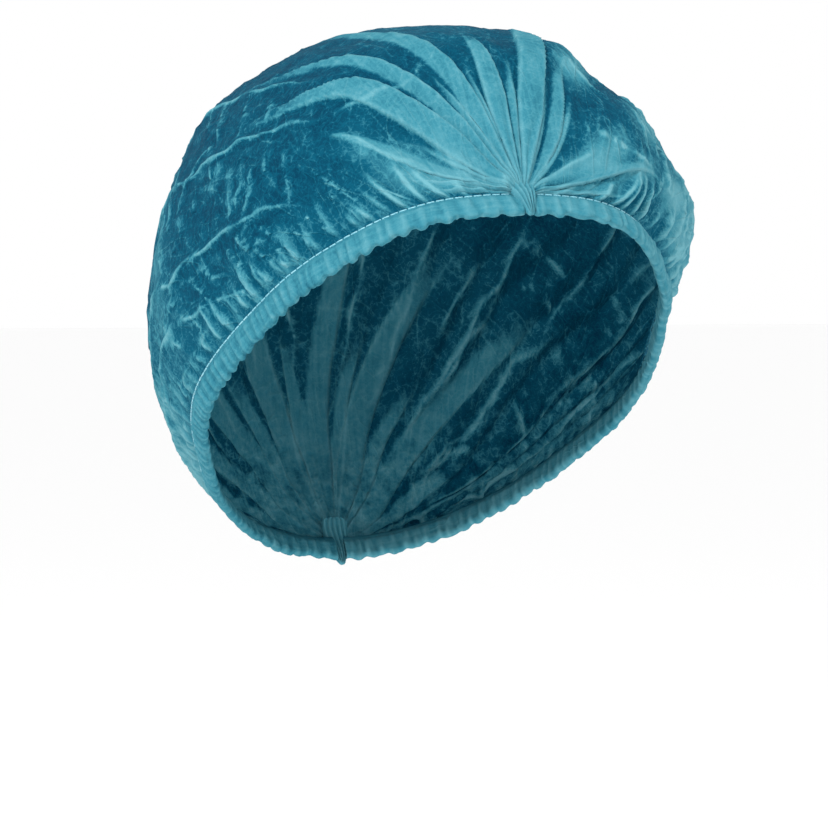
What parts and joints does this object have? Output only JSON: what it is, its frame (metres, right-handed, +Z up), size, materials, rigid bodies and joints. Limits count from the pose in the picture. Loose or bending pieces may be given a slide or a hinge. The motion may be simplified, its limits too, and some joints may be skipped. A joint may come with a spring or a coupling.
{
  "type": "disposable hairnet",
  "caption": "Pleated nonwoven strip cap, opened out as worn, with ruched elastic hems that meet in a front and a back gather.",
  "frame": {"origin": "middle of the head opening, in the plane of the hem's stitched line", "axes": "+Z up as worn, -Y towards the wearer's front, -X towards the wearer's right; the opening's plane rises 32 degrees towards the front gather"},
  "size_m": [0.1706, 0.2302, 0.1817],
  "materials": {
    "crown_cloth": "sheer spunbond nonwoven, matt",
    "hem_cloth": "folded spunbond nonwoven, ruched, matt",
    "elastic": "thin round elastic, matt"
  },
  "bodies": {
    "root": {"crown": "crown_cloth", "casing_right": "hem_cloth", "casing_left": "hem_cloth", "elastic_right": "elastic", "elastic_left": "elastic", "front_gather": "hem_cloth", "back_gather": "hem_cloth"}
  },
  "joints": []
}
